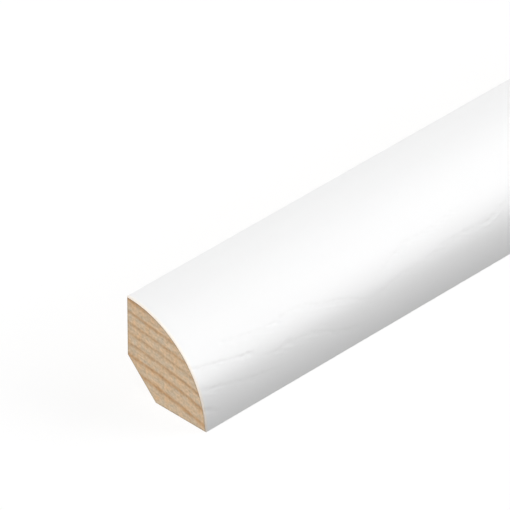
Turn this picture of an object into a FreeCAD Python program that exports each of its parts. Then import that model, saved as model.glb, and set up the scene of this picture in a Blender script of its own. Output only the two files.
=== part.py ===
import FreeCAD, Part
import enum
import math
import os
import Sketcher

# Quarter round moulding: a planed softwood length with a quarter-circle section,
# a chamfer along its back corner, and a white foil glued over the rounded face.
# +Z is up, the length runs along Y and the rounded face looks towards +X and +Z.
# The origin is at the bottom centre of the moulding.

doc = FreeCAD.newDocument("quarter_round_moulding")

# Driving dimensions in millimetres
SIZES = [
    ("round_radius", "14", "outside radius of the rounded face, so also the width and the height"),
    ("foil_thickness", "0.2", "thickness of the foil on the rounded face"),
    ("back_chamfer", "5", "leg of the 45 degree chamfer along the back corner"),
    ("stock_length", "1000", "length of the moulding as it is sold"),
]
sheet = doc.addObject("Spreadsheet::Sheet", "sizes")
for row, (alias, value, meaning) in enumerate(SIZES, start=1):
    sheet.set(f"A{row}", meaning)
    sheet.set(f"B{row}", value)
    sheet.setAlias(f"B{row}", alias)
doc.recompute()


class CurvePoint(enum.IntEnum):
    """How a sketch numbers the points of a curve."""

    START = 1
    END = 2
    CENTRE = 3


class SketchLine(enum.IntEnum):
    """How a sketch numbers its own two axes: across the floor and up the wall."""

    FLOOR = -1
    WALL = -2


CORNER = (SketchLine.FLOOR, CurvePoint.START)


def origin_plane(body, role):
    """The body's own origin plane with this role."""
    return next(plane for plane in body.Origin.OriginFeatures if plane.Role == role)


def section_body(label):
    """A body whose origin is the corner where wall and floor meet, with a sketch across the length.

    In the sketch x runs out from the wall and y runs up from the floor.
    """
    body = doc.addObject("PartDesign::Body", label)
    body.Label = label
    body.setExpression("Placement.Base.x", "-sizes.round_radius / 2")
    sketch = body.newObject("Sketcher::SketchObject", f"{label}_section")
    sketch.AttachmentSupport = [(origin_plane(body, "XZ_Plane"), "")]
    sketch.MapMode = "FlatFace"
    return body, sketch


def add_quarter_arc(sketch, radius_name, radius_formula):
    """A quarter circle about the corner, from the floor line up to the wall line."""
    first_radius = sheet.round_radius
    circle = Part.Circle(FreeCAD.Vector(), FreeCAD.Vector(0, 0, 1), first_radius)
    arc = sketch.addGeometry(Part.ArcOfCircle(circle, 0, math.radians(90)))
    sketch.addConstraint(Sketcher.Constraint("Coincident", arc, CurvePoint.CENTRE, *CORNER))
    sketch.addConstraint(Sketcher.Constraint("PointOnObject", arc, CurvePoint.START, SketchLine.FLOOR))
    sketch.addConstraint(Sketcher.Constraint("PointOnObject", arc, CurvePoint.END, SketchLine.WALL))
    radius = sketch.addConstraint(Sketcher.Constraint("Radius", arc, first_radius))
    sketch.renameConstraint(radius, radius_name)
    sketch.setExpression(f"Constraints.{radius_name}", radius_formula)
    sketch.recompute()
    return arc


def add_line(sketch, first, second):
    """A straight line between two points of the sketch, each given as a curve and one of its ends."""
    points = [sketch.getPoint(*point) for point in (first, second)]
    line = sketch.addGeometry(Part.LineSegment(*points))
    sketch.addConstraint(Sketcher.Constraint("Coincident", line, CurvePoint.START, *first))
    sketch.addConstraint(Sketcher.Constraint("Coincident", line, CurvePoint.END, *second))


def pad_to_length(body, sketch):
    """The section carried along the length, half to each side."""
    pad = body.newObject("PartDesign::Pad", f"{body.Label}_length")
    pad.Profile = sketch
    pad.SideType = "Symmetric"
    pad.setExpression("Length", "sizes.stock_length")
    return pad


def back_corner_edge(shape):
    """The name of the edge along the corner, the one that touches the body's own Y axis."""
    for number, edge in enumerate(shape.Edges, start=1):
        ends = [vertex.Point for vertex in edge.Vertexes]
        if all(abs(point.x) + abs(point.z) < Part.Precision.confusion() for point in ends):
            return f"Edge{number}"
    raise RuntimeError("the section has no back corner")


def make_softwood_core():
    """A quarter round planed under size by the foil, with its back corner chamfered off."""
    body, sketch = section_body("softwood_core")
    arc = add_quarter_arc(sketch, "wood_radius", "sizes.round_radius - sizes.foil_thickness")
    add_line(sketch, CORNER, (arc, CurvePoint.START))
    add_line(sketch, (arc, CurvePoint.END), CORNER)
    pad = pad_to_length(body, sketch)
    doc.recompute()

    chamfer = body.newObject("PartDesign::Chamfer", "softwood_core_back_chamfer")
    chamfer.Base = (pad, [back_corner_edge(pad.Shape)])
    chamfer.setExpression("Size", "sizes.back_chamfer")
    return body


def make_white_foil():
    """A thin band that follows the rounded face and ends flush with the two flat faces."""
    body, sketch = section_body("white_foil")
    outer = add_quarter_arc(sketch, "face_radius", "sizes.round_radius")
    inner = add_quarter_arc(sketch, "glue_radius", "sizes.round_radius - sizes.foil_thickness")
    add_line(sketch, (inner, CurvePoint.START), (outer, CurvePoint.START))
    add_line(sketch, (outer, CurvePoint.END), (inner, CurvePoint.END))
    pad_to_length(body, sketch)
    return body


pieces = [make_softwood_core(), make_white_foil()]
doc.recompute()

# Every feature has to have built, and each piece has to be one sound solid
for item in doc.Objects:
    if "Invalid" in item.State or "Error" in item.State:
        raise RuntimeError(f"{item.Label} did not build: {item.State}")
for piece in pieces:
    if piece.Shape.isNull() or not piece.Shape.isValid() or len(piece.Shape.Solids) != 1:
        raise RuntimeError(f"{piece.Label} is not one sound solid")

os.makedirs("parts", exist_ok=True)
for piece in pieces:
    piece.Shape.exportStep(f"parts/{piece.Label}.step")
    box = piece.Shape.BoundBox
    print(f"{piece.Label}: {box.XLength:.3f} x {box.YLength:.3f} x {box.ZLength:.3f} mm,"
          f" {piece.Shape.Volume:.1f} mm3")
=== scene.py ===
# %% [markdown]
# # A quarter round moulding, dressed in Blender
# The moulding is a planed softwood length with a quarter-circle section. A white foil with a pressed
# wood grain is glued over its rounded face, and its back corner is chamfered off so that it sits tight in
# a wall's corner. The CAD model holds the true sizes, so this lesson starts by loading it and reads every
# main size from it. Two surfaces are then worked out with numpy, given their finishes, lit and seen
# through a camera.

import bpy
import numpy as np
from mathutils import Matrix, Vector


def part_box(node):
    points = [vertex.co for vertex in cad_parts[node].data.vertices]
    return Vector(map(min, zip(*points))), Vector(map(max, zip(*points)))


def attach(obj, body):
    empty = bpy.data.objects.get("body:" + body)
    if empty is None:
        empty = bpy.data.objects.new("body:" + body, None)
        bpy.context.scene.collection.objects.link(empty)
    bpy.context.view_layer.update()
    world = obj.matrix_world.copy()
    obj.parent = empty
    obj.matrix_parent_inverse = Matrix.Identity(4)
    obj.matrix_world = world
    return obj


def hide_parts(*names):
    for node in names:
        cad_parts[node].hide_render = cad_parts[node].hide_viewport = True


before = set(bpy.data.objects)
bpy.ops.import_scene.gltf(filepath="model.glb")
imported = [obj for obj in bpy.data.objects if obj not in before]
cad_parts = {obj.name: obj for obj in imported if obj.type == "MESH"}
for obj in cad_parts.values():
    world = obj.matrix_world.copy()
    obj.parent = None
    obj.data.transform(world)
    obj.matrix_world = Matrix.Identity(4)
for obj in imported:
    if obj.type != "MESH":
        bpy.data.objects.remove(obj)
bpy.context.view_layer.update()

# %% [markdown]
# ## The section's own sizes
# The corner where the wall and the floor would meet is the natural zero of a quarter round: the curve is
# drawn about it. The two radii come from the boxes of the two CAD nodes. The chamfer has no box of its
# own, so it is the distance from the wall to the nearest CAD point that touches the floor.

# %% Read the sizes from the frame
MM = 0.001
TOUCHING = 0.01 * MM

foil_low, foil_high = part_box("white_foil")
wood_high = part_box("softwood_core")[1]
WALL_X, NEAR_Y, FLOOR_Z = foil_low
LENGTH = foil_high.y - NEAR_Y
FACE_RADIUS = foil_high.z - FLOOR_Z
WOOD_RADIUS = wood_high.z - FLOOR_Z

wood_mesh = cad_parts["softwood_core"].data
wood_points = np.empty(len(wood_mesh.vertices) * 3, np.float32)
wood_mesh.vertices.foreach_get("co", wood_points)
wood_points = wood_points.reshape(-1, 3)
on_floor = wood_points[:, 2] < FLOOR_Z + TOUCHING
CHAMFER = float(wood_points[on_floor, 0].min() - WALL_X)

print(f"face radius {FACE_RADIUS / MM:.2f} mm, wood radius {WOOD_RADIUS / MM:.2f} mm,"
      f" chamfer {CHAMFER / MM:.2f} mm, length {LENGTH / MM:.0f} mm")

# %% [markdown]
# ## From arrays to a mesh
# Both pieces are a section carried along the length, closed by a flat face at each end. Blender could
# extrude and unwrap such a shape, but arrays keep every point's place in plain sight. One helper numbers
# the four-sided faces of a grid, two lay faces on a map for painting, and one puts it all into a mesh. The
# long narrow strips would waste nearly all of a square map, so the map cuts them into rows that lie above
# each other.

# %% Number the faces of a swept piece


def grid_faces(sections, around):
    """Faces between neighbouring sections.

    Each joins point j and point j + 1 of one section to the same two points of the next section.
    """
    at, point = np.meshgrid(np.arange(sections - 1), np.arange(around), indexing="ij")
    following = (point + 1) % around
    corners = [at * around + point, (at + 1) * around + point,
               (at + 1) * around + following, at * around + following]
    return np.stack(corners, axis=-1).reshape(-1, 4)


print("faces between two sections of three points:", grid_faces(2, 3).tolist())

# %% Lay faces on a map
MAP_ROWS = 5
MAP_GAP = 0.004


def row_map(points, faces, across, first_v, height):
    """The map of a strip of faces: equal lengths of it lie in rows, each a strip's height above the last.

    across says how far over the strip each point lies, from 0 to 1.
    """
    along = (points[faces, 1] - NEAR_Y) / LENGTH * MAP_ROWS
    row = np.floor(along.mean(axis=1, keepdims=True))
    u = MAP_GAP + (along - row) * (1 - 2 * MAP_GAP)
    v = first_v + row * (height + MAP_GAP) + across[faces] * height
    return np.stack([u, v], axis=-1)


def end_map(points, faces, number, first_v):
    """The map of one end's faces, seen square on. The two ends lie side by side above the rows."""
    size = 1 - first_v - MAP_GAP
    section = (points[faces][..., [0, 2]] - (WALL_X, FLOOR_Z)) / FACE_RADIUS
    return section * size + (MAP_GAP + number * (size + MAP_GAP), first_v)


print(f"map: {MAP_ROWS} rows, each for {LENGTH / MM / MAP_ROWS:.0f} mm of the length")

# %% Put arrays into a mesh
MAP_NAME = "OFBake"


def make_piece(name, points, groups, crease):
    """A mesh object, smooth but for creases where faces meet at more than an angle in degrees.

    Each group holds faces with equally many corners, and a place on the map for each corner.
    """
    faces = [face for corners, places in groups for face in corners.tolist()]
    map_places = np.concatenate([places.reshape(-1, 2) for corners, places in groups])
    mesh = bpy.data.meshes.new(name)
    mesh.from_pydata(points.tolist(), [], faces)
    layer = mesh.uv_layers.new(name=MAP_NAME)
    layer.uv.foreach_set("vector", map_places.astype(np.float32).ravel())
    mesh.shade_smooth()
    mesh.set_sharp_from_angle(angle=np.radians(crease))
    piece = bpy.data.objects.new(name, mesh)
    bpy.context.scene.collection.objects.link(piece)
    mesh.calc_loop_triangles()
    print(f"{name}: {len(mesh.vertices)} points, {len(mesh.loop_triangles)} triangles,"
          f" map up to {map_places.max():.3f}, repaired {mesh.validate()}")
    return piece


print("each piece carries a map called", MAP_NAME)

# %% [markdown]
# ## The softwood core
# The real core is planed from one strip of pine: two flat faces, the chamfer between them and the curve
# under the foil. The CAD node itself would do for the shape, but its loose triangles have no map, so the
# section is drawn again as one closed outline and carried along the length. Each end is closed by the same
# outline, shrunk in rings to a point in its middle.

# %% Draw the core's outline
ARC_STEPS = 32


def core_outline():
    """The section, anticlockwise from the chamfer: along the floor, round the arc, down the wall.

    Also gives the face that each stretch to the next point belongs to.
    """
    angle = np.linspace(0, np.pi / 2, ARC_STEPS + 1)
    arc = WOOD_RADIUS * np.stack([np.cos(angle), np.sin(angle)], axis=-1)
    outline = np.concatenate([[(CHAMFER, 0)], arc, [(0, CHAMFER)]])
    stretches = ["floor"] + ["curve"] * ARC_STEPS + ["wall", "chamfer"]
    return outline, np.array(stretches)


outline, stretches = core_outline()
print(f"core outline: {len(outline)} points")

# %% Carry the outline along the length
CAP_RINGS = 6


def place_section(section, distance):
    """Section points, measured from the wall and the floor, at a distance from the near end."""
    return np.column_stack([WALL_X + section[:, 0],
                            np.full(len(section), NEAR_Y + distance),
                            FLOOR_Z + section[:, 1]])


def cap_section():
    """The outline shrunk towards its middle in equal steps, and the middle itself."""
    middle = outline.mean(axis=0)
    shares = 1 - np.arange(1, CAP_RINGS) / CAP_RINGS
    rings = middle + shares[:, None, None] * (outline - middle)
    return np.concatenate([rings.reshape(-1, 2), middle[None]])


cap = cap_section()
core_distances = np.linspace(0, LENGTH, MAP_ROWS + 1)
core_points = np.concatenate([place_section(outline, distance) for distance in core_distances]
                             + [place_section(cap, distance) for distance in (0, LENGTH)])
print(f"core: {len(core_points)} points, {len(cap)} of them inside each end")

# %% Long faces of the core
STRIP_HEIGHTS = {"wall": 0.045, "floor": 0.045, "chamfer": 0.036, "curve": 0.003}


def core_sides():
    """Groups of the four long faces, and how far up the map their rows reach."""
    around = len(outline)
    sides = grid_faces(len(core_distances), around)
    owner = np.tile(stretches, len(core_distances) - 1)
    groups, first_v = [], MAP_GAP
    for name, height in STRIP_HEIGHTS.items():
        faces = sides[owner == name]
        first = np.flatnonzero(stretches == name)[0]
        across = (np.arange(len(core_points)) - first) % around / np.sum(stretches == name)
        groups.append((faces, row_map(core_points, faces, across, first_v, height)))
        first_v += MAP_ROWS * (height + MAP_GAP)
    return groups, first_v


side_groups, sides_top = core_sides()
print("long faces:", {name: len(faces) for name, (faces, places) in zip(STRIP_HEIGHTS, side_groups)})

# %% Sawn ends of the core
CORE_CREASE = 25


def core_end(number, rim_start, first_v):
    """Groups of one end's faces: four-sided ones between its rings, and a fan of triangles inside."""
    around = len(outline)
    inner_start = len(core_distances) * around + number * len(cap)
    pole = inner_start + len(cap) - 1
    rim = np.arange(rim_start, rim_start + around)
    rings = np.concatenate([rim, np.arange(inner_start, pole)]).reshape(CAP_RINGS, around)
    following = np.roll(rings, -1, axis=1)
    quads = np.stack([rings[:-1], following[:-1], following[1:], rings[1:]], axis=-1).reshape(-1, 4)
    fan = np.stack([rings[-1], following[-1], np.full(around, pole)], axis=-1)
    outward = [faces if number == 0 else faces[:, ::-1] for faces in (quads, fan)]
    return [(faces, end_map(core_points, faces, number, first_v)) for faces in outward]


last_rim = (len(core_distances) - 1) * len(outline)
end_groups = core_end(0, 0, sides_top) + core_end(1, last_rim, sides_top)
core = make_piece("planed_core", core_points, side_groups + end_groups, CORE_CREASE)

# %% [markdown]
# ## The pressed grain of the foil
# The foil isn't smooth: a wood grain is pressed into it. Seen close to, each line is a shallow groove with
# a steep upper side and a gentle lower one, so it shows as a fine dark line over a faint bright one. It is
# ragged too: it wavers and weakens, short nicks lie beside it, and the film below it is a little hollow
# and crumpled. Such lines could be bump in the material, but they are a real relief, so here they are in
# the mesh. Near the end, they follow listed points.

# %% Points of the lines near the end
# Each point: distance from the near end in millimetres, angle above the floor in degrees, strength
NEAR_LINES = [
    [(0, 36.6, 1.5), (2.5, 34.5, 0.9), (4, 33.3, 1.8), (5.5, 32, 0.35), (7.1, 30.6, 0.4),
     (8.4, 29.6, 2.3), (9.3, 29, 1.7), (9.7, 28.75, 1.1), (10.1, 28.45, 0)],
    [(11.3, 24.6, 0), (11.8, 24, 0.4), (12.9, 22.4, 0.5), (14.2, 22.8, 1.0), (15.4, 23.3, 0.95),
     (17.2, 22.5, 0.4), (18.4, 22, 0.7), (20, 21.2, 0.7), (21.4, 19.4, 0.6), (23, 16.3, 0.9),
     (24.1, 14.2, 0.7), (26, 12.2, 0.75), (28.6, 10, 0.3)],
    [(0, 25.2, 0.1), (1.8, 22.9, 1.5), (2.6, 22.3, 1.05), (4.5, 20.6, 0.45), (7.1, 18, 0.7),
     (8.9, 16.2, 1.0), (11.2, 15.2, 0.6), (14, 13, 0.2)],
    [(6, 41.5, 0.8), (8, 40, 0.8), (10.7, 38, 0.95), (12.2, 37.3, 0.4), (14.3, 36.2, 1.6),
     (16.5, 37.8, 1.1), (19.2, 37.5, 0.65), (21.4, 34.4, 0.6), (24.1, 31, 0.95), (26.8, 28.3, 0.65),
     (29, 23.5, 0.25), (30.8, 20.9, 0.4), (33, 21.8, 0.9), (36, 24.3, 0.6), (38, 24.4, 0.25),
     (40.2, 24.6, 0.35), (42.8, 25.8, 0.75), (44.6, 28, 0.8), (46.5, 27.6, 0.3), (48.2, 27.2, 1.05),
     (50, 26.9, 0.55), (51.8, 26, 0.65), (52.7, 25.6, 1.65), (54.5, 28.5, 0.65), (57.6, 31.4, 0.75),
     (61, 33.6, 0.7), (63.5, 35, 0)],
    [(33, 31, 0.5), (35.3, 33.9, 1.4), (36.6, 36, 1.9), (38.4, 38.8, 1.05), (41, 38.2, 1.15),
     (44.6, 38.6, 0.6), (47.3, 40, 1.25), (49, 41, 0.7)],
    [(0, 14.6, 2.6), (1.2, 12.2, 1.2), (2.7, 9, 0.3)],
]
NICKS_PER_MM = [0.7, 1, 1, 1.5, 1.5, 1.25]
NEAR_REACH = 64.0
QUARTER = 90
MM_PER_DEGREE = np.radians(1) * FACE_RADIUS / MM

print(f"{len(NEAR_LINES)} lines within {NEAR_REACH:.0f} mm, one degree is {MM_PER_DEGREE:.3f} mm of arc")

# %% Smooth steps, random waves and crumbs
CRUMB_WAVES = 20
CRUMB_LENGTHS, CRUMB_WIDTHS = (0.9, 2.6), (0.35, 0.9)
rng = np.random.default_rng(14)


def fade(value, start, end):
    """A smooth step from 0 at start to 1 at end."""
    share = np.clip((value - start) / (end - start), 0, 1)
    return share * share * (3 - 2 * share)


def waves(spans, sizes):
    """A function of the distance: sine waves of given spans and sizes, added up, that start at random."""
    starts = rng.uniform(0, 2 * np.pi, len(spans))
    return lambda along: sum(size * np.sin(2 * np.pi * along / span + start)
                             for span, size, start in zip(spans, sizes, starts))


def crumbs():
    """An uneven field about 0: many flat waves whose lengths and starts are drawn at random, added up."""
    per_along = 2 * np.pi / rng.uniform(*CRUMB_LENGTHS, CRUMB_WAVES) * rng.choice([-1, 1], CRUMB_WAVES)
    per_arc = 2 * np.pi / rng.uniform(*CRUMB_WIDTHS, CRUMB_WAVES)
    starts = rng.uniform(0, 2 * np.pi, CRUMB_WAVES)

    def field(along, arc):
        turns = per_along[:, None, None] * along + per_arc[:, None, None] * arc + starts[:, None, None]
        return np.sin(turns).sum(axis=0) / np.sqrt(CRUMB_WAVES / 2)
    return field


print("a fade from 0 to 1 in quarters:", fade(np.linspace(0, 1, 5), 0, 1).round(3).tolist())

# %% Shape of a groove
GROOVE_BOTTOM = -0.15
UPPER_WIDTH, LOWER_WIDTH = 0.15, 0.36
HOLLOW_SHARE, HOLLOW_WIDTH = 0.4, 1.3


def groove(across, lower_width=LOWER_WIDTH):
    """The depth, from 0 to 1, at a distance across a line in millimetres, upwards positive.

    A bell curve about the groove's bottom, narrow on its upper side and wide on its lower side.
    """
    offset = across - GROOVE_BOTTOM
    width = np.where(offset < 0, lower_width, UPPER_WIDTH)
    return np.exp(-((offset / width) ** 2))


print("a groove from 0.6 mm below its line upwards:", groove(np.arange(-0.6, 0.2, 0.15)).round(2).tolist())

# %% Relief of a drawn line
DRAWN_DEPTH = 0.016
WOBBLE_SPANS, WOBBLE_SIZES = (0.9, 1.4, 2.3), (0.04, 0.05, 0.06)
BREAK_SPANS, BREAK_SIZES = (1.9, 3.1, 4.7), (0.5, 0.6, 0.7)
BREAK_START, BREAK_END, BREAK_LOSS = -0.4, 0.6, 0.35
NICK_ABOVE, NICK_SCATTER = -0.2, 0.4
NICK_HALF_LENGTHS, NICK_SHARES = (0.3, 0.9), (0.1, 0.6)
HOLLOW_SMOOTHING = np.linspace(-1.5, 1.5, 7)
CRUMB_SHARE = 0.6


def scatter_nicks(first, last, per_mm):
    """Nicks between two distances: where, how far above the line, half their length, and their share."""
    count = round(per_mm * (last - first))
    return np.column_stack([rng.uniform(first, last, count), rng.normal(NICK_ABOVE, NICK_SCATTER, count),
                            rng.uniform(*NICK_HALF_LENGTHS, count), rng.uniform(*NICK_SHARES, count)])


def drawn_line(points, nicks_per_mm):
    """The relief of a line through points, a function of a column of distances (mm) and angles (degrees).

    It is a groove that wavers and weakens, short nicks scattered beside it, and a wide shallow hollow
    below it with crumbs in it. The hollow fades where its line starts, unless that is at the near end.
    """
    spot, spot_angle, spot_strength = np.array(points).T
    wobble = waves(WOBBLE_SPANS, WOBBLE_SIZES)
    breaks = waves(BREAK_SPANS, BREAK_SIZES)
    crumpled = crumbs()
    nicks = scatter_nicks(spot[0], spot[-1], nicks_per_mm)
    before = spot_strength[0] if spot[0] == 0 else 0

    def relief(along, angle):
        strength = np.interp(along, spot, spot_strength, left=0, right=0)
        nearby = along[..., None] + HOLLOW_SMOOTHING
        smoothed = np.interp(nearby, spot, spot_strength, left=before, right=0).mean(axis=-1)
        across = (angle - np.interp(along, spot, spot_angle)) * MM_PER_DEGREE + wobble(along)
        whole = 1 - BREAK_LOSS * fade(breaks(along), BREAK_START, BREAK_END)
        depth = strength * whole * groove(across)
        for place, above, half_length, share in nicks:
            nearness = np.exp(-(((along - place) / half_length) ** 2))
            depth += strength * share * nearness * groove(across - above)
        hollow = HOLLOW_SHARE * smoothed * groove(across, HOLLOW_WIDTH)
        uneven = 1 + CRUMB_SHARE * crumpled(along, angle * MM_PER_DEGREE)
        return DRAWN_DEPTH * (depth + hollow * uneven)
    return relief


lines = [drawn_line(points, nicks) for points, nicks in zip(NEAR_LINES, NICKS_PER_MM)]
print("drawn lines:", len(lines))

# %% [markdown]
# ## The grain beyond the end
# Along the rest of the length, points chosen by hand would be endless. A slow wave bends a set of even
# lines instead, as one tree's grain bends together, and each line fades in and out. The wave dies away at
# both ends and at the foil's two edges, so that the same wave can bend the columns of the mesh too: the
# lines then run along the edges of the faces, and few sections are enough to draw them.

# %% Relief of a wandering line
WANDERING_DEPTH, WANDERING_WIDTH = 0.03, 1.3
# Each wave: degrees, span in millimetres, start in radians
SWINGS = [(5, 83, 0), (3, 37, 1)]
SWING_FADE = 20
LINE_COUNT, LOWEST_LINE, HIGHEST_LINE, LINE_SCATTER = 9, 4, 86, 2
PRESENCE_SPANS, PRESENCE_SIZES, PRESENCE_EDGE = (71, 29), (1.0, 0.8), 0.9
UNEVEN_SPANS, UNEVEN_SIZES = (11, 19), (0.1, 0.12)
START_BEFORE, FULL_AFTER = 4, 6


def swing(along, angle):
    """Degrees by which the grain swings at a distance: slow waves that die away at the edges and ends."""
    slow = sum(size * np.sin(2 * np.pi * along / span + start) for size, span, start in SWINGS)
    off_ends = fade(along, NEAR_REACH, NEAR_REACH + SWING_FADE) * fade(LENGTH / MM - along, 0, SWING_FADE)
    from_middle = 2 * angle / QUARTER - 1
    return slow * off_ends * (1 - from_middle ** 4)


def wandering_line(start):
    """The relief of a line that swings with its neighbours, and fades in and out."""
    start += rng.uniform(-LINE_SCATTER, LINE_SCATTER)
    presence = waves(PRESENCE_SPANS, PRESENCE_SIZES)
    uneven = waves(UNEVEN_SPANS, UNEVEN_SIZES)

    def relief(along, angle):
        beyond_end = fade(along, NEAR_REACH - START_BEFORE, NEAR_REACH + FULL_AFTER)
        strength = fade(presence(along), -PRESENCE_EDGE, PRESENCE_EDGE) * beyond_end
        across = ((angle - start - swing(along, start)) * MM_PER_DEGREE + uneven(along)) / WANDERING_WIDTH
        profile = groove(across) + HOLLOW_SHARE * groove(across, HOLLOW_WIDTH)
        return WANDERING_DEPTH * strength * profile
    return relief


lines += [wandering_line(start) for start in np.linspace(LOWEST_LINE, HIGHEST_LINE, LINE_COUNT)]


def pressed_grain(along, angle):
    """The depth of the whole relief in millimetres: the sum of all the lines."""
    return sum(line(along, angle) for line in lines)


test_depth = pressed_grain(np.arange(0.0, NEAR_REACH)[:, None], np.linspace(0, QUARTER, 400))
print(f"{len(lines)} lines, up to {test_depth.max():.3f} mm deep and {-test_depth.min():.3f} mm proud")

# %% [markdown]
# ## The foil
# The foil is a thin shell: a grid outside, which holds the relief, and a plain curve inside where it is
# glued to the wood. Its edges end flush with the two flat faces. A grid that is fine everywhere would have
# millions of faces, so only the end that the camera looks at is fine. The rest has fewer sections and
# columns, and one row of faces, some with five corners, joins the two. The relief only goes inwards, so
# the foil never grows out of the CAD model's box.

# %% Sections of the foil
# Columns for each step of the arc: more on the lower half, where the drawn lines are
FINE_COLUMNS = np.repeat([8, 4], ARC_STEPS // 2)
PLAIN_COLUMNS = FINE_COLUMNS // 2
FINE_STEP, PLAIN_STEP = 0.3, 2.8
EDGE_SHARE = 0.03


def foil_distances():
    """Distances of the sections from the near end in millimetres, for the fine part and for the rest.

    The rest is divided evenly up to the end of each row of the map, so no face crosses from row to row.
    """
    fine = np.linspace(0, NEAR_REACH, round(NEAR_REACH / FINE_STEP) + 1)
    ends = np.arange(1, MAP_ROWS + 1) * LENGTH / MM / MAP_ROWS
    starts = np.append(NEAR_REACH, ends[:-1])
    counts = np.round((ends - starts) / PLAIN_STEP).astype(int)
    rows = [np.linspace(*row)[1:] for row in zip(starts, ends, counts + 1)]
    return fine, np.concatenate(rows)


def foil_sections(distances, columns):
    """Points of closed sections: up the outside, less the relief, and back down the inside.

    columns says into how many parts each step of the core's arc is divided. The outside's points swing
    with the grain. Also gives how far each point lies up the outside, and how far down the inside with
    its edges.
    """
    steps = [step + np.arange(count) / count for step, count in enumerate(columns)]
    even = np.append(np.concatenate(steps), ARC_STEPS) * QUARTER / ARC_STEPS
    along = distances[:, None]
    outer = even + swing(along, even)
    inner = np.broadcast_to(np.linspace(QUARTER, 0, ARC_STEPS + 1), (len(distances), ARC_STEPS + 1))
    face = FACE_RADIUS - np.maximum(pressed_grain(along, outer), 0) * MM
    radius = np.concatenate([face, np.full(inner.shape, WOOD_RADIUS)], axis=1)
    turn = np.radians(np.concatenate([outer, inner], axis=1))
    points = np.empty(radius.shape + (3,))
    points[..., 0] = WALL_X + radius * np.cos(turn)
    points[..., 1] = NEAR_Y + along * MM
    points[..., 2] = FLOOR_Z + radius * np.sin(turn)
    outside = np.concatenate([outer / QUARTER, np.zeros(inner.shape)], axis=1)
    lower_edge = np.where(outer < QUARTER / 2, 1.0, 0.0)
    down = 1 - EDGE_SHARE - inner / QUARTER * (1 - 2 * EDGE_SHARE)
    return points.reshape(-1, 3), outside.ravel(), np.concatenate([lower_edge, down], axis=1).ravel()


fine_distances, plain_distances = foil_distances()
print(f"foil sections: {len(fine_distances)} fine and {len(plain_distances)} plain ones")

# %% Faces of the foil


def split_grid(sections, columns, first):
    """The faces between sections whose points start at a number: those of the outside, and the others."""
    around = columns.sum() + ARC_STEPS + 2
    faces = grid_faces(sections, around) + first
    is_outer = np.arange(len(faces)) % around < columns.sum()
    return faces[is_outer], faces[~is_outer]


def joining_faces(fine_start, plain_start):
    """The row of faces from the last fine section to the first plain one.

    Outside, the fine section has two columns for each plain one, so the face has a fifth corner. Gives
    these faces and the four-cornered ones inside.
    """
    fine_count, plain_count = FINE_COLUMNS.sum(), PLAIN_COLUMNS.sum()
    outer = np.arange(0, fine_count + 1, 2)
    inner = np.arange(fine_count + 1, fine_count + ARC_STEPS + 2)
    fine = fine_start + np.concatenate([outer, inner])
    plain = plain_start + np.arange(plain_count + ARC_STEPS + 2)
    faces = np.stack([fine, plain, np.roll(plain, -1), np.roll(fine, -1)], axis=-1)
    between = fine_start + np.arange(1, fine_count, 2)
    return np.column_stack([faces[:plain_count], between]), faces[plain_count:]


def end_faces(first, columns, count):
    """The faces of one end whose outside has that count of columns, one for each such step of the arc."""
    steps = np.flatnonzero(columns == count)[:, None]
    starts = (np.cumsum(columns) - columns)[steps]
    outer = first + starts + np.arange(count + 1)
    inner = first + columns.sum() + 1 + ARC_STEPS - steps - np.array([1, 0])
    return np.concatenate([outer, inner], axis=1)


print(f"columns outside: {FINE_COLUMNS.sum()} fine and {PLAIN_COLUMNS.sum()} plain ones")

# %% Build the foil
OUTER_HEIGHT, INNER_HEIGHT = 0.15, 0.006
FOIL_CREASE = 50


def make_foil():
    """The shell: two grids of sections, the row that joins them, and a thin curved face at each end."""
    parts = [foil_sections(fine_distances, FINE_COLUMNS), foil_sections(plain_distances, PLAIN_COLUMNS)]
    points, outside, inside = (np.concatenate(part) for part in zip(*parts))
    plain_start = len(parts[0][0])
    last_fine = plain_start - plain_start // len(fine_distances)
    last_plain = len(points) - len(parts[1][0]) // len(plain_distances)

    fine_outer, fine_inner = split_grid(len(fine_distances), FINE_COLUMNS, 0)
    plain_outer, plain_inner = split_grid(len(plain_distances), PLAIN_COLUMNS, plain_start)
    joins_outer, joins_inner = joining_faces(last_fine, plain_start)

    groups = [(faces, row_map(points, faces, outside, MAP_GAP, OUTER_HEIGHT))
              for faces in (np.concatenate([fine_outer, plain_outer]), joins_outer)]
    inner_v = MAP_GAP + MAP_ROWS * (OUTER_HEIGHT + MAP_GAP)
    inner_faces = np.concatenate([fine_inner, plain_inner, joins_inner])
    groups.append((inner_faces, row_map(points, inner_faces, inside, inner_v, INNER_HEIGHT)))

    end_v = inner_v + MAP_ROWS * (INNER_HEIGHT + MAP_GAP)
    for number, (first, columns) in enumerate([(0, FINE_COLUMNS), (last_plain, PLAIN_COLUMNS)]):
        for count in np.unique(columns):
            faces = end_faces(first, columns, count)
            outward = faces if number == 0 else faces[:, ::-1]
            groups.append((outward, end_map(points, outward, number, end_v)))
    return make_piece("embossed_foil", points, groups, FOIL_CREASE)


foil = make_foil()

# %% [markdown]
# ## Shader maths in plain Python
# A material is a graph of nodes, and a formula of a dozen Math nodes is hard to read as a graph. One small
# class wraps a node's output instead: Python's operators on it add the Math nodes, and one method adds any
# other node. A finish then reads as the sums that it is made of.

# %% A socket that takes part in sums


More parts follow.
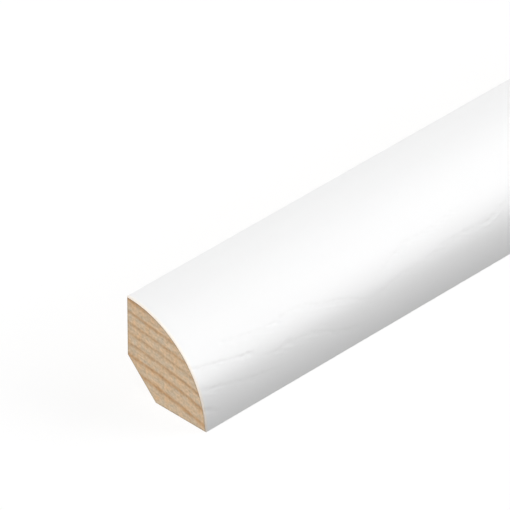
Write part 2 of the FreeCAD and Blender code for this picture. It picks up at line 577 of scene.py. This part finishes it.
class Wire:
    """One output of a node. Sums with it add Math nodes to the same tree."""

    def __init__(self, tree, socket=None):
        self.tree = tree
        self.socket = socket

    def node(self, kind, settings=None, inputs=None, output=0):
        """Adds a node with its settings, feeds its inputs with values or wires, and gives one output."""
        made = self.tree.nodes.new("ShaderNode" + kind)
        for name, value in (settings or {}).items():
            setattr(made, name, value)
        for key, value in (inputs or {}).items():
            if isinstance(value, Wire):
                self.tree.links.new(value.socket, made.inputs[key])
            else:
                made.inputs[key].default_value = value
        return Wire(self.tree, made.outputs[output] if made.outputs else None)

    def other(self, output):
        """Another output of the same node."""
        return Wire(self.tree, self.socket.node.outputs[output])

    def maths(self, operation, first, second=0.0, clamp=False):
        """A Math node on one or two values, held between 0 and 1 if asked for."""
        return self.node("Math", {"operation": operation, "use_clamp": clamp}, {0: first, 1: second})

    def __add__(self, value):
        return self.maths("ADD", self, value)

    def __sub__(self, value):
        return self.maths("SUBTRACT", self, value)

    def __rsub__(self, value):
        return self.maths("SUBTRACT", value, self)

    def __mul__(self, value):
        return self.maths("MULTIPLY", self, value)

    def __truediv__(self, value):
        return self.maths("DIVIDE", self, value)

    def __rtruediv__(self, value):
        return self.maths("DIVIDE", value, self)

    def __pow__(self, value):
        return self.maths("POWER", self, value)

    def __rpow__(self, value):
        return self.maths("POWER", value, self)

    __radd__ = __add__
    __rmul__ = __mul__

    def clamped(self):
        """The value, held between 0 and 1."""
        return self.maths("ADD", self, 0.0, clamp=True)

    def least(self, value):
        """The smaller of two values."""
        return self.maths("MINIMUM", self, value)

    def most(self, value):
        """The larger of two values."""
        return self.maths("MAXIMUM", self, value)

    def bell(self, width):
        """1 where the value is 0, and less on both sides: e to the minus square of value over width."""
        return self.maths("EXPONENT", (self / width) ** 2 * -1)

    def parts(self):
        """The three numbers of a vector."""
        first = self.node("SeparateXYZ", None, {"Vector": self})
        return first, first.other("Y"), first.other("Z")

    def times(self, factors):
        """A vector, each number of it multiplied by a factor of its own."""
        return self.node("VectorMath", {"operation": "MULTIPLY"}, {0: self, 1: factors})

    def noise(self, lumps, detail=2.0):
        """Smooth noise about 0 at a place, from about -0.5 to 0.5.

        lumps says how many of its lumps lie in a millimetre across, along and up.
        """
        found = self.node("TexNoise", None, {"Vector": self.times(lumps), "Scale": 1.0, "Detail": detail})
        return found - 0.5

    def blend(self, share, first, second):
        """A colour between two, by a share from 0 to 1."""
        return self.node("Mix", {"data_type": "RGBA"}, {0: share, 6: first, 7: second}, output=2)


print("a wire takes", ", ".join(name for name in vars(Wire) if not name.startswith("_")))

# %% [markdown]
# ## Where a point lies
# Both finishes depend on where a point lies on the moulding, and on whether it is on a sawn end or a long
# face. The maps could say so too, but they are cut into rows. Places in space have no seams, so a mark
# that runs off one face goes on round the edge, as in real wood.

# %% Begin and end a finish
END_FACING = 0.5


def linear(red, green, blue):
    """A colour as a screen shows it, from 0 to 255, turned into the light values that nodes expect."""
    shown = np.array([red, green, blue]) / 255
    light = np.where(shown <= 0.04045, shown / 12.92, ((shown + 0.055) / 1.055) ** 2.4)
    return (*light.tolist(), 1.0)


def new_finish(name):
    """An empty material, and a wire to start its nodes from."""
    material = bpy.data.materials.new(name)
    material.use_nodes = True
    material.node_tree.nodes.clear()
    return material, Wire(material.node_tree)


def finish_with(surface):
    """Makes a shader the material's surface."""
    surface.node("OutputMaterial", None, {"Surface": surface})


def section_place(start):
    """Millimetres out from the wall, along from the near end and up from the floor, as a vector."""
    corner = (WALL_X, NEAR_Y, FLOOR_Z)
    in_space = start.node("TexCoord", None, None, "Object")
    from_corner = start.node("VectorMath", {"operation": "SUBTRACT"}, {0: in_space, 1: corner})
    return from_corner.times((1 / MM, 1 / MM, 1 / MM))


def cut_across(start):
    """1 on the two ends, whose faces look along the length, and 0 on the long faces."""
    facing = start.node("TexCoord", None, None, "Normal").parts()[1]
    return start.maths("GREATER_THAN", start.maths("ABSOLUTE", facing), END_FACING)


print("middle grey as a light value:", round(linear(128, 128, 128)[0], 4))

# %% [markdown]
# ## Planed softwood
# A tree grows a ring each year: pale wood in spring, a darker and harder band in late summer. The strip
# was sawn far from the tree's middle, so on its end the rings are nearly flat arcs. A picture of grain
# would only fit one face, so the rings are worked out in space instead: each point's distance from the
# tree's middle line decides its colour. The same rule then draws the arcs on the sawn ends and the long
# stripes on the planed faces.

# %% Growth rings
PITH_SIDE, PITH_BELOW = 6.0, 85.0
FIRST_WOOD = 85.28
TAPER = 0.004
# Lumps of each noise: how many in a millimetre across, along and up
SLOW_LUMPS, SLOW_BEND = (0.12, 0.012, 0.12), 0.5
FINE_LUMPS, FINE_BEND = (0.6, 0.03, 0.6), 0.25
MEAN_RING, FIRST_BAND = 2.09, 4.1
LEAN_SHARE, LEAN_SPAN, LEAN_START = 0.5, 17.8, 8.93


def year_rings(place):
    """The distance outwards, and the distance from the nearest dark band, both in millimetres.

    A ring's number grows with the distance from the tree's middle line and with a slow wave of it, so some
    years are leaner. A dark band lies at each whole number, and the formula's slope turns numbers into
    millimetres.
    """
    across, along, up = place.parts()
    from_pith = place.maths("SQRT", (across + PITH_SIDE) ** 2 + (up + PITH_BELOW) ** 2)
    bends = place.noise(SLOW_LUMPS) * SLOW_BEND + place.noise(FINE_LUMPS) * FINE_BEND
    outward = from_pith - FIRST_WOOD + bends - along * TAPER
    wave = (outward - LEAN_START) * (2 * np.pi / LEAN_SPAN)
    ring = (outward - FIRST_BAND) / MEAN_RING + place.maths("SINE", wave) * LEAN_SHARE
    slope = 1 / MEAN_RING + place.maths("COSINE", wave) * (LEAN_SHARE * 2 * np.pi / LEAN_SPAN)
    return outward, (ring - place.maths("ROUND", ring)) / slope


print(f"rings of about {MEAN_RING} mm, {PITH_BELOW} mm and more from the tree's middle line")

# %% Late wood
EARLY_REACH = 10.0
WIDTH_SCALE, EARLY_WIDER = 1.05, 0.55
OUTER_WIDTH, INNER_WIDER = 0.185, 0.11
STRENGTH, EARLY_STRONGER = 0.78, 0.25
WEAK_YEAR, WEAK_SPAN, WEAK_SHARE = 8.4, 8.8, 0.1
PATCH_LUMPS, PATCH_SHARE = (0.6, 0.03, 0.6), 0.9
DASH_LUMPS, DASH_SHARE = (1.5, 0.075, 0.6), 1.1
BAND_MEAN = 0.93
OUTER_START, OUTER_FADE, OUTER_SHARE = 11.9, 1.8, 0.28


def late_wood(place, outward, from_band):
    """How far each point is dark late wood, and how strong its year is, both from about 0 to 1.

    A band is a bell curve about its line, wider on its inner side. The years nearest the tree's middle
    have wider and stronger bands, a slow wave makes some years weaker, and noise breaks the bands into
    patches and dashes. The outermost wood is all a little dark.
    """
    early = ((EARLY_REACH - outward).most(0.0) / EARLY_REACH) ** 2
    inner_side = place.maths("LESS_THAN", from_band, 0.0)
    width = (early * EARLY_WIDER + WIDTH_SCALE) * (inner_side * INNER_WIDER + OUTER_WIDTH)
    weak_wave = place.maths("COSINE", (outward - WEAK_YEAR) * (2 * np.pi / WEAK_SPAN))
    strong = early * EARLY_STRONGER + STRENGTH - weak_wave * WEAK_SHARE
    broken = place.noise(PATCH_LUMPS) * PATCH_SHARE + place.noise(DASH_LUMPS) * DASH_SHARE + BAND_MEAN
    outermost = ((outward - OUTER_START) / OUTER_FADE).clamped() * OUTER_SHARE
    return (from_band.bell(width) * strong * broken + outermost).clamped(), strong


print(f"late wood fades over {OUTER_WIDTH} mm outwards and {OUTER_WIDTH + INNER_WIDER:.3f} mm inwards")

# %% Flecks, streaks, rays and resin canals
FLECK_LUMPS, FLECK_DETAIL, FLECK_SHARE = (2.45, 0.07, 2.975), 1.5, 0.75
STREAK_LUMPS, STREAK_DETAIL, STREAK_SHARE = (0.6, 0.06, 2.4), 1.0, 0.48
RAY_LUMPS, RAY_SHARE = (6.0, 0.1, 0.5), 0.12
CANAL_LUMPS, CANAL_SHARE = (1.1, 0.022, 1.1), 0.2
CANAL_EDGE, CANAL_CORE, CANAL_REACH = 0.09, 1.6, 0.7


def small_marks(place, outward, from_band):
    """Flecks about 0, and the wood's lightness about 1.

    The lightness changes with the flecks, with streaks along the rings and with rays across them. Resin
    canals near the dark bands take a little of it away.
    """
    flecks = place.noise(FLECK_LUMPS, FLECK_DETAIL)
    across, along = place.parts()[:2]
    with_rings = place.node("CombineXYZ", None, {"X": across, "Y": along, "Z": outward})
    streaks = with_rings.noise(STREAK_LUMPS, STREAK_DETAIL)
    rays = place.noise(RAY_LUMPS)
    cells = {"Vector": place.times(CANAL_LUMPS), "Scale": 1.0}
    to_canal = place.node("TexVoronoi", None, cells, "Distance")
    canals = (CANAL_CORE - to_canal / CANAL_EDGE).clamped() * from_band.bell(CANAL_REACH)
    lightness = 1 + flecks * FLECK_SHARE + streaks * STREAK_SHARE + rays * RAY_SHARE - canals * CANAL_SHARE
    return flecks, lightness


print(f"flecks of about {1 / FLECK_LUMPS[0]:.2f} by {1 / FLECK_LUMPS[2]:.2f} mm on the sawn ends")

# %% Colours of the wood
COOL_SPRING, WARM_SPRING = linear(191, 176, 154), linear(210, 175, 136)
PALE_SUMMER, DARK_SUMMER = linear(168, 143, 113), linear(177, 136, 92)
# Each kind of warm patch: lumps in a millimetre, detail, share
WARM_PATCHES = [((0.64, 0.0128, 0.64), 1.0, 1.25), ((1.2, 0.024, 1.2), 0.5, 1.0)]
WARM_MEAN = 0.5


def wood_colour(place):
    """The wood's colour, how far it is late wood, and its flecks.

    Spring wood is cool or warm in patches, summer wood is darker in strong years, and late wood goes from
    the one to the other.
    """
    outward, from_band = year_rings(place)
    late, strong = late_wood(place, outward, from_band)
    flecks, lightness = small_marks(place, outward, from_band)
    warm = sum(place.noise(lumps, detail) * share for lumps, detail, share in WARM_PATCHES) + WARM_MEAN
    spring = place.blend(warm.clamped(), COOL_SPRING, WARM_SPRING)
    summer = place.blend(strong, PALE_SUMMER, DARK_SUMMER)
    grain = place.blend(late, spring, summer)
    return place.node("HueSaturation", None, {"Value": lightness, "Color": grain}), late, flecks


print("spring wood from", [round(value, 3) for value in COOL_SPRING], "to",
      [round(value, 3) for value in WARM_SPRING])

# %% [markdown]
# ## Sawn ends and planed faces
# The sawn ends are darker in a thin rim round their outline, and planed faces are a little paler than end
# grain, which drinks in the light. The rim could be a thin piece of its own, but here it is colour only,
# so it is the distance from the section's outline that darkens the wood. Hard late wood stands a little
# proud, and that is bump, because it is far finer than the mesh.

# %% Finish of the core
# Each sawn end turns darker within a quarter millimetre of its outline
RIM_WIDTH, RIM_SHARE, RIM_DARK = 0.25, 0.65, linear(136, 120, 102)
PLANED_LIGHTNESS = 1.1
LATE_HEIGHT, FLECK_HEIGHT = 0.6, 0.8
WOOD_BUMP, WOOD_BUMP_DEPTH = 0.6, 0.03 * MM
WOOD_ROUGHNESS, LATE_SMOOTHER = 0.72, 0.1


def to_outline(place):
    """Millimetres to the section's nearest side: the wall, the floor, the curve or the chamfer."""
    across, up = place.parts()[::2]
    to_curve = WOOD_RADIUS / MM - place.maths("SQRT", across ** 2 + up ** 2)
    to_chamfer = (across + up - CHAMFER / MM) * np.sqrt(0.5)
    return across.least(up).least(to_curve).least(to_chamfer)


def planed_softwood():
    """Softwood with growth rings, paler on its planed faces and darker in a thin rim round its sawn ends.
    """
    material, start = new_finish("pine_with_rings")
    place = section_place(start)
    colour, late, flecks = wood_colour(place)
    sawn = cut_across(start)
    paler = start.node("HueSaturation", None, {"Value": PLANED_LIGHTNESS, "Color": colour})
    colour = start.blend(1 - sawn, colour, paler)
    rim = (1 - to_outline(place) / RIM_WIDTH).clamped() * sawn
    colour = start.blend(rim * RIM_SHARE, colour, RIM_DARK)
    height = late * LATE_HEIGHT + flecks * FLECK_HEIGHT
    bump = start.node("Bump", None, {
        "Strength": WOOD_BUMP, "Distance": WOOD_BUMP_DEPTH, "Height": height})
    finish_with(start.node("BsdfPrincipled", None, {
        "Base Color": colour, "Roughness": WOOD_ROUGHNESS - late * LATE_SMOOTHER, "Normal": bump}))
    return material


core.data.materials.append(planed_softwood())
print("core finish:", core.data.materials[0].name, len(core.data.materials[0].node_tree.nodes), "nodes")

# %% [markdown]
# ## White foil
# The foil is a printed plastic film with a satin shine. Its white is nearly even, so what tells it from
# paper is how it takes the light: a soft highlight along the curve, broken a little by fine pores that run
# with the grain. The pores are too small for the mesh, so they are bump, and they make the shine a little
# uneven too. Where the saw cut the film, its edge shows cream, with painted shade that darkens it near the
# floor, and the last fraction of a millimetre of the face is rubbed cream as well.

# %% Finish of the foil
PORE_LUMPS, PORE_DETAIL = (5.0, 0.2, 5.0), 3.0
CLOUD_LUMPS = (0.25, 0.025, 0.25)
COOL_WHITE, WARM_WHITE = (0.855, 0.857, 0.86, 1), (0.875, 0.875, 0.874, 1)
RUBBED_WIDTH, RUBBED_CREAM = 0.4, (0.92, 0.85, 0.755, 1)
# Painted shade: the film's sawn edge is dark at the floor and turns cream higher up
EDGE_SHADE_HEIGHT, SHADED_EDGE_COLOUR, CREAM_EDGE = 6.0, (0.40, 0.34, 0.285, 1), (0.98, 0.895, 0.795, 1)
PORE_BUMP, PORE_DEPTH = 0.5, 0.004 * MM
FOIL_ROUGHNESS, PORE_ROUGHER = 0.32, 0.1


def white_foil():
    """A satin white film with fine pores, cream along its sawn edges, with painted shade on them near the
    floor.
    """
    material, start = new_finish("satin_foil")
    place = section_place(start)
    along, up = place.parts()[1:]
    pores = place.noise(PORE_LUMPS, PORE_DETAIL)
    cloud = place.noise(CLOUD_LUMPS) + 0.5
    colour = start.blend(cloud.clamped(), COOL_WHITE, WARM_WHITE)
    from_end = along.least(LENGTH / MM - along)
    colour = start.blend((1 - from_end / RUBBED_WIDTH).clamped(), colour, RUBBED_CREAM)
    # Painted shade on the sawn edge: dark at the floor, cream above
    cut_edge = start.blend((up / EDGE_SHADE_HEIGHT).clamped(), SHADED_EDGE_COLOUR, CREAM_EDGE)
    colour = start.blend(cut_across(start), colour, cut_edge)
    bump = start.node("Bump", None, {"Strength": PORE_BUMP, "Distance": PORE_DEPTH, "Height": pores})
    finish_with(start.node("BsdfPrincipled", None, {
        "Base Color": colour, "Roughness": pores * PORE_ROUGHER + FOIL_ROUGHNESS, "Normal": bump}))
    return material


foil.data.materials.append(white_foil())
print("foil finish:", foil.data.materials[0].name, len(foil.data.materials[0].node_tree.nodes), "nodes")

# %% [markdown]
# ## Floor and surroundings
# The moulding lies on a plain white floor in front of nothing. More light would wash the floor out to
# white, and the moulding with it, so the floor glows instead: to the camera, and in reflections, it is
# mostly plain white, and a share of it takes light and shade, so that it keeps a soft shadow. Seen from
# below it lets the view through, so that the underside can be looked at as well.

# %% Floor and world
FLOOR_HALF = 3.0
FLOOR_DROP = 0.1 * MM
FLOOR_PALE = (0.9, 0.9, 0.9, 1)
WHITE = (1, 1, 1, 1)
SHADE_SHARE = 0.2
FLOOR_GLOW = 1.04
AMBIENT = 0.01


def seen_directly(start):
    """1 for rays from the camera, and for those that a mirror or glass sends on, and 0 for the rest."""
    path = start.node("LightPath", None, None, "Is Camera Ray")
    return path.most(path.other("Is Glossy Ray")).most(path.other("Is Transmission Ray"))


def make_floor():
    """A wide square just under the moulding, which casts no light or shadow of its own."""
    corners = np.array([(-1, -1), (1, -1), (1, 1), (-1, 1)]) * FLOOR_HALF
    points = np.column_stack([corners, np.full(4, FLOOR_Z - FLOOR_DROP)])
    mesh = bpy.data.meshes.new("floor")
    mesh.from_pydata(points.tolist(), [], [(0, 1, 2, 3)])
    floor = bpy.data.objects.new("floor", mesh)
    bpy.context.scene.collection.objects.link(floor)
    floor.visible_diffuse = False
    floor.visible_shadow = False

    material, start = new_finish("floor_white")
    shaded = start.node("BsdfDiffuse", None, {"Color": FLOOR_PALE})
    glowing = start.node("Emission", None, {"Color": WHITE, "Strength": FLOOR_GLOW})
    glow_share = seen_directly(start) * (1 - SHADE_SHARE)
    top = start.node("MixShader", None, {0: glow_share, 1: shaded, 2: glowing})
    below = start.node("NewGeometry", None, None, "Backfacing")
    clear = start.node("BsdfTransparent")
    finish_with(start.node("MixShader", None, {0: below, 1: top, 2: clear}))
    mesh.materials.append(material)


def make_world():
    """Plain white to look at, with hardly any light of its own."""
    world = bpy.data.worlds.new("white_studio")
    bpy.context.scene.world = world
    world.use_nodes = True
    world.node_tree.nodes.clear()
    start = Wire(world.node_tree)
    strength = seen_directly(start) * (1 - AMBIENT) + AMBIENT
    sky = start.node("Background", None, {"Color": WHITE, "Strength": strength})
    start.node("OutputWorld", None, {"Surface": sky})


make_floor()
make_world()
print(f"floor of {2 * FLOOR_HALF:.0f} m, {FLOOR_DROP / MM} mm under the moulding, and a white world")

# %% [markdown]
# ## Light
# The light is a plain soft studio set. A large front light shines on the sawn end and another comes from
# above. Four more stand beyond the far side, where the satin face mirrors them as one broad highlight that
# fades round the curve. The last one shines from behind and below, so that the hidden sides show in other
# views. Lamps with a place would light the near end more than the far one, so soft suns are used, which
# light the whole length evenly.

# %% Soft lights
# Name: degrees round from the near end, degrees up, strength, width in degrees
LIGHTS = {
    "front": (-18, 12, 2.17, 40),
    "above": (0, 62, 1.73, 45),
    "beyond_low": (127, 20, 0.58, 30),
    "beyond_wide": (139, 17, 1.15, 50),
    "beyond_middle": (148, 32, 0.47, 30),
    "beyond_high": (166, 42, 0.49, 30),
    "hidden_sides": (225, -35, 3.4, 60),
}


def direction(azimuth, elevation):
    """The way towards a place in the sky: azimuth turns from the near end's side to the curve's side."""
    turn, rise = np.radians(azimuth), np.radians(elevation)
    return Vector((np.sin(turn) * np.cos(rise), -np.cos(turn) * np.cos(rise), np.sin(rise)))


def make_light(name, azimuth, elevation, strength, width):
    """A sun that shines from a place in the sky, where it looks as wide as an angle in degrees."""
    light = bpy.data.lights.new(name, "SUN")
    light.energy = strength
    light.angle = np.radians(width)
    lamp = bpy.data.objects.new(name, light)
    lamp.rotation_mode = "QUATERNION"
    lamp.rotation_quaternion = direction(azimuth, elevation).to_track_quat("Z", "Y")
    bpy.context.scene.collection.objects.link(lamp)


for name, settings in LIGHTS.items():
    make_light(name, *settings)
bpy.context.scene.view_settings.view_transform = "Standard"
print("lights:", ", ".join(LIGHTS))

# %% [markdown]
# ## Camera
# The camera looks down on the near end from the front right, through a long lens, so that the edges of
# the moulding stay nearly parallel. It could be aimed by a constraint, but a direction and a distance say
# plainly where it stands. Its target is set out from the middle of the near end's wall edge.

# %% Camera
AZIMUTH, ELEVATION = 44.92, 34.708
CAMERA_DISTANCE = 961.2 * MM
LENS = 538.07
CLIP_START = 50 * MM
TARGET_RIGHT, TARGET_UP = 16.051 * MM, 10.886 * MM


def make_camera():
    """A camera that looks back along a direction at its target."""
    back = direction(AZIMUTH, ELEVATION)
    right = direction(AZIMUTH + 90, 0)
    wall_edge = Vector((WALL_X, NEAR_Y, FLOOR_Z + FACE_RADIUS / 2))
    target = wall_edge + right * TARGET_RIGHT + back.cross(right) * TARGET_UP
    camera = bpy.data.objects.new("camera", bpy.data.cameras.new("camera"))
    camera.data.lens = LENS
    camera.data.clip_start = CLIP_START
    camera.location = target + back * CAMERA_DISTANCE
    camera.rotation_mode = "QUATERNION"
    camera.rotation_quaternion = back.to_track_quat("Z", "Y")
    bpy.context.scene.collection.objects.link(camera)
    bpy.context.scene.camera = camera
    return camera


camera = make_camera()
print("camera at", [round(value, 4) for value in camera.location])

# %% [markdown]
# ## The pieces on the frame
# Each piece rides on the moulding's one body, and the CAD node that it stands for is hidden.

# %% Join the pieces to the frame
# Each piece, the CAD node that it stands for, and its finish in the record
PIECES = [(core, "softwood_core", "planed_softwood"), (foil, "white_foil", "white_decor_foil")]

for piece, node, slot in PIECES:
    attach(piece, "root")
    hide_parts(node)
